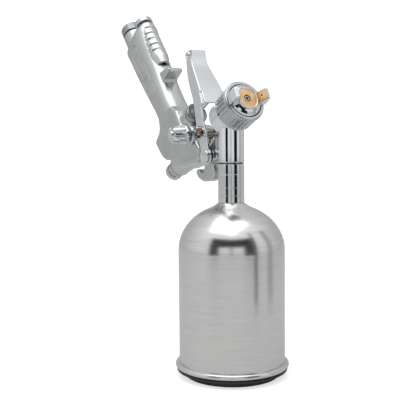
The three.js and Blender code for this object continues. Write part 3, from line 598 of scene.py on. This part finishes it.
def make_knobs():
    bush = [(5.3, -81), (7.3, -81), (7.3, -93.3), (8.8, -93.3), (8.8, -95.2), (8.2, -95.7), (5.3, -95.7)]
    lathe("rear_collar", bush, NOZZLE, dark_trim, "gun", "polished_trim", "rear_bush")

    def knurl(r, d, a):
        if r > 7.4 and (-106.9 < d < -102.6 or -99.2 < d < -96.7):
            return r - 0.16 * (0.5 + 0.5 * math.cos(48 * a))
        return r

    front = -96.0
    knob = [(0, -84.3), (5, -84.3), (5, front), (7.2, front), (7.6, front - 0.6)]
    knob += [(7.6, front - 0.8 - 0.3 * i) for i in range(9)]
    knob += [(7.6, front - 3.4), (6.2, front - 3.8), (6.2, front - 6.1), (7.6, front - 6.5)]
    knob += [(7.6, front - 6.7 - 0.4 * i) for i in range(11)]
    knob += [(7.4, front - 11.2), (6.6, front - 12), (5.4, front - 12), (5, front - 11.5), (0, front - 11.5)]
    lathe("fluid_control", knob, NOZZLE, ring_chrome, "fluid_knob", "polished_trim", "fluid_knob",
          edge=0.25, sides=192, shape=knurl)

    def flutes(r, d, a):
        if r > 5.5 and d > 18.2:
            return r - 1.5 * max(0, math.cos(9 * a)) ** 2.5
        return r

    fan = [(0, 19.7), (2.2, 19.7), (2.2, 14.7), (7.8, 14.7), (8.6, 15.2), (8.6, 17.2), (8.3, 17.9)]
    fan += [(8.2 - 0.14 * i, 18 + i) for i in range(11)]
    fan += [(6.1, 28.8), (3.6, 28.8), (3.5, 30.2), (3.2, 30.4), (0, 30.4)]
    lathe("fan_control", fan, FAN_CONTROL, chrome, "fan_knob", "polished_trim",
          "fan_knob", edge=0.25, sides=180, shape=flutes)
    stem = [(2.2, 6), (3.3, 6), (3.3, 13.1), (5.2, 13.1), (5.2, 14.4), (2.2, 14.4)]
    lathe("fan_collar", stem, FAN_CONTROL, dark_trim, "gun", "polished_trim", "fan_bush")


def make_handle_end():
    inlet = [(4.2, -6), (6.5, -6), (6.5, 11.6), (9.8, 11.6), (10, 12), (10, 19.4), (9.2, 20.2),
             (6.2, 20.2), (6.2, 13), (4.2, 11)]
    lathe("inlet_fitting", inlet, AIR_INLET, dark_trim, "gun", "polished_trim",
          "air_inlet")
    bush = [(2.3, -16), (4.1, -16), (4.1, -3.7), (6.6, -3.7), (6.6, -1.8), (2.3, -1.8)]
    lathe("flow_collar", bush, FLOW_CONTROL, rubber, "gun", "polished_trim",
          "flow_bush")

    def ribs(r, d, a):
        if r > 8.3 and 0 < d < 3.9:
            return r - 0.05 * (0.5 + 0.5 * math.cos(44 * a))
        return r

    cap = [(2.3, 1.9), (2.3, -1.5), (6.4, -1.5), (6.4, -0.8), (8.2, -0.8), (8.6, -0.4), (8.6, 0.4),
           (8.6, 2), (8.6, 3.4), (8.6, 4), (7.8, 4.8), (4.5, 4.8), (4.2, 4.4), (0, 4.4),
           (0, 1.9)]
    lathe("flow_control", cap, FLOW_CONTROL, ring_chrome, "flow_knob",
          "polished_trim", "flow_knob", edge=0.2, sides=176, shape=ribs)


# ---------- trigger and air valve ----------

def make_trigger():
    refined_copy("trigger_plate", "trigger", chrome, "trigger", 0.34, 12, ["trigger"])
    stud = [(0, -14), (2.4, -14), (2.4, -13.5), (1.8, -13.5), (1.8, -12.3), (2.4, -12.3), (2.4, 12.3),
            (5.6, 12.3), (5.6, 13.6), (5.2, 14), (4.2, 14), (3.9, 13.85), (0, 13.85)]
    lathe("pivot_stud", stud, TRIGGER_PIVOT, chrome, "gun", "chrome_parts", "trigger_stud",
          edge=0.2)
    bar = [(0, -13.9), (2, -13.9), (2, -9.9), (4, -9.9), (4, -3), (3.6, -3), (3.6, 3), (4, 3), (4, 9.9),
           (2, 9.9), (2, 13.6), (1.7, 13.9), (0, 13.9)]
    lathe("cross_bar", bar, TRIGGER_BAR, steel, "trigger", "chrome_parts", "trigger_bar",
          edge=0.2, sides=64)
    nut = [(2.3, -57.3), (6, -57.3), (6, -49.3), (9.6, -49.3), (9.6, -45.4), (8.8, -44.4), (7.6, -44.4),
           (7.3, -44.9), (5.4, -44.9), (5, -44.4), (4.6, -45.6), (2.3, -45.6)]
    lathe("valve_nut", nut, AIR_VALVE, dark_trim, "gun", "chrome_parts", "air_valve_nut")
    stem = [(0, -68.2), (1.2, -68.2), (1.2, -62), (4.6, -62), (4.6, -60.2), (2, -60.2), (2, -19),
            (1.4, -18.4), (0, -18.4)]
    lathe("valve_stem", stem, AIR_VALVE, chrome, "air_valve", "chrome_parts",
          "air_valve_stem", edge=0.2, sides=40)
    roll = [(1.5, -8.2), (2.9, -8.2), (2.9, 8.2), (1.5, 8.2)]
    lathe("rolled_tip", roll, TRIGGER_TIP, chrome, "trigger", "chrome_parts",
          "trigger", edge=0.4, sides=48)
    for name in ("trigger_bar_clip_near", "trigger_bar_clip_far", "trigger_stud_clip"):
        clip = frame["nodes"][name]
        clip.data.materials.clear()
        clip.data.materials.append(bronze_clip)


make_cup()
make_lid()
make_body()
make_ring()
make_air_cap()
make_needle()
make_knobs()
make_handle_end()
make_trigger()


# ---------- camera, floor and light ----------

CAMERA_AT = Vector((0.5184, -0.3367, 0.18765))
CAMERA_AZIMUTH = math.radians(57)
CAMERA_YAW = math.radians(2.306)
CAMERA_DROP = math.radians(4.34)
CAMERA_ROLL = math.radians(-0.5)
LENS = 69.97
SENSOR = 36


def make_camera():
    data = bpy.data.cameras.new("camera")
    data.lens = LENS
    data.sensor_width = SENSOR
    data.clip_start = 0.01
    camera = bpy.data.objects.new("camera", data)
    bpy.context.scene.collection.objects.link(camera)
    heading = Vector((-math.sin(CAMERA_AZIMUTH), math.cos(CAMERA_AZIMUTH), 0))
    heading = Matrix.Rotation(CAMERA_YAW, 3, "Z") @ heading
    right = heading.cross(Vector((0, 0, 1))).normalized()
    look = heading * math.cos(CAMERA_DROP) - Vector((0, 0, 1)) * math.sin(CAMERA_DROP)
    up = right.cross(look)
    right_rolled = right * math.cos(CAMERA_ROLL) + up * math.sin(CAMERA_ROLL)
    up_rolled = up * math.cos(CAMERA_ROLL) - right * math.sin(CAMERA_ROLL)
    turn = Matrix((right_rolled, up_rolled, -look)).transposed().to_4x4()
    camera.matrix_world = Matrix.Translation(CAMERA_AT) @ turn
    bpy.context.scene.camera = camera


FLOOR_HALF = 6.0
FLOOR_DROP = 0.0002
FLOOR_GLOW = 0.62       # added for camera rays alone, so that the floor reads as white paper


def make_floor():
    """A wide pale floor, just below the lid."""
    size = FLOOR_HALF
    mesh = bpy.data.meshes.new("floor")
    corners = [(-size, -size, 0), (size, -size, 0), (size, size, 0), (-size, size, 0)]
    mesh.from_pydata(corners, [], [(0, 1, 2, 3)])
    floor = bpy.data.objects.new("floor", mesh)
    bpy.context.scene.collection.objects.link(floor)
    floor.location.z = -FLOOR_DROP
    made = Nodes("pale_floor")
    made.link(made.ramp(made.noise(3.0), (0.60, 0.60, 0.60, 1), (0.63, 0.63, 0.63, 1)),
              made.shader.inputs["Base Color"])
    made.shader.inputs["Roughness"].default_value = 0.6
    made.shader.inputs["Specular IOR Level"].default_value = 0.1
    seen = made.tree.nodes.new("ShaderNodeLightPath")
    glow = made.new("ShaderNodeMath")
    glow.operation = "MULTIPLY"
    glow.inputs[1].default_value = FLOOR_GLOW
    made.link(seen.outputs["Is Camera Ray"], glow.inputs[0])
    made.link(glow.outputs["Value"], made.shader.inputs["Emission Strength"])
    made.shader.inputs["Emission Color"].default_value = (1, 1, 1, 1)
    mesh.materials.append(made.material)


def area_light(name, place, aim, width, height, power):
    data = bpy.data.lights.new(name, "AREA")
    data.shape = "RECTANGLE"
    data.size = width
    data.size_y = height
    data.energy = power
    light = bpy.data.objects.new(name, data)
    bpy.context.scene.collection.objects.link(light)
    light.location = place
    light.visible_glossy = name == "overhead"
    light.rotation_euler = (Vector(aim) - Vector(place)).to_track_quat("-Z", "Y").to_euler()


ROOM = 0.80         # brightness of the world on the camera's side
CEILING = 1.0
BEHIND = 0.50
BACKDROP = 1.25     # what the camera itself sees
SOFT_LIGHTS = (
    ("overhead", (0.1, -0.2, 1.3), (0, 0, 0.15), 1.2, 1.2, 4),
    ("camera_left", (0.0, -1.2, 0.6), (0, 0, 0.2), 0.5, 1.2, 2.0),
    ("camera_right", (1.2, 0.3, 0.5), (0, 0, 0.2), 0.5, 1.2, 1.5),
)
# Strips of each card: turn from, turn to, foot and top. Then its distance and its tone.
FLAGS = {
    "narrow_flag": ([(46.5, 53, 0, 0.5)], 0.34, 0.01),
    "wide_flag": ([(78, 92, 0, 0.42)], 0.34, 0.42),
    "arch_flag": ([(-48, -27, 0, 0.42), (27, 48, 0, 0.42), (-48, 48, 0.42, 0.90), (-1.8, 1.8, 0, 0.42)],
                  1.0, 0.012),
}


def make_light():
    """A room brighter towards the camera and above, three soft lights and the reflection cards."""
    world = bpy.data.worlds.new("studio")
    bpy.context.scene.world = world
    world.use_nodes = True
    tree = world.node_tree
    links = tree.links

    def maths(kind, a, b=0.0, c=None):
        node = tree.nodes.new("ShaderNodeMath")
        node.operation = kind
        for k, value in enumerate((a, b, c)):
            if value is None:
                continue
            if isinstance(value, (int, float)):
                node.inputs[k].default_value = value
            else:
                links.new(value, node.inputs[k])
        return node.outputs["Value"]

    def step(value, edge, softness):
        span = tree.nodes.new("ShaderNodeMapRange")
        span.interpolation_type = "SMOOTHSTEP"
        span.inputs["From Min"].default_value = edge - softness
        span.inputs["From Max"].default_value = edge + softness
        links.new(value, span.inputs["Value"])
        return span.outputs["Result"]

    coords = tree.nodes.new("ShaderNodeTexCoord")
    split = tree.nodes.new("ShaderNodeSeparateXYZ")
    links.new(coords.outputs["Generated"], split.inputs["Vector"])
    x, y, z = (split.outputs[k] for k in "XYZ")
    # How much each direction faces the camera's side, whatever its height.
    level = maths("SQRT", maths("MAXIMUM", maths("SUBTRACT", 1.0, maths("MULTIPLY", z, z)), 0.0001))
    across = maths("ADD", maths("MULTIPLY", x, math.sin(CAMERA_AZIMUTH)),
                   maths("MULTIPLY", y, -math.cos(CAMERA_AZIMUTH)))
    facing = maths("DIVIDE", across, level)
    room = maths("MULTIPLY_ADD", step(facing, -0.2, 0.7), ROOM - BEHIND, BEHIND)
    tone = maths("MULTIPLY_ADD", step(z, 0.6, 0.35), CEILING - ROOM, room)
    seen = tree.nodes.new("ShaderNodeLightPath")
    shown = maths("MAXIMUM", tone, maths("MULTIPLY", seen.outputs["Is Camera Ray"], BACKDROP))
    links.new(shown, tree.nodes["Background"].inputs["Strength"])
    tree.nodes["Background"].inputs["Color"].default_value = (0.985, 0.995, 1.0, 1)
    for light in SOFT_LIGHTS:
        area_light(*light)
    for name, (strips, away, tone) in FLAGS.items():
        flag(name, strips, away, tone)


def flag(name, strips, away, tone):
    """Standing cards that only reflections see. Each strip runs between two turns from the camera's side."""
    points = []
    faces = []
    for start, end, low, high in strips:
        steps = max(1, round(abs(end - start) / 4))
        for k in range(steps):
            first = len(points)
            for turn, height in ((k, low), (k + 1, low), (k + 1, high), (k, high)):
                angle = math.radians(start + (end - start) * turn / steps) + CAMERA_AZIMUTH - math.pi / 2
                points.append((away * math.cos(angle), away * math.sin(angle), height))
            faces.append((first, first + 1, first + 2, first + 3))
    mesh = bpy.data.meshes.new(name)
    mesh.from_pydata(points, [], faces)
    card = bpy.data.objects.new(name, mesh)
    bpy.context.scene.collection.objects.link(card)
    made = Nodes(name)
    made.link(made.ramp(made.noise(4.0), grey(tone), grey(tone * 1.2)), made.shader.inputs["Base Color"])
    made.shader.inputs["Roughness"].default_value = 0.9
    made.shader.inputs["Specular IOR Level"].default_value = 0.0
    mesh.materials.append(made.material)
    card.visible_camera = False
    card.visible_shadow = False
    card.visible_diffuse = False


make_camera()
make_floor()
make_light()
bpy.context.scene.view_settings.view_transform = "Standard"
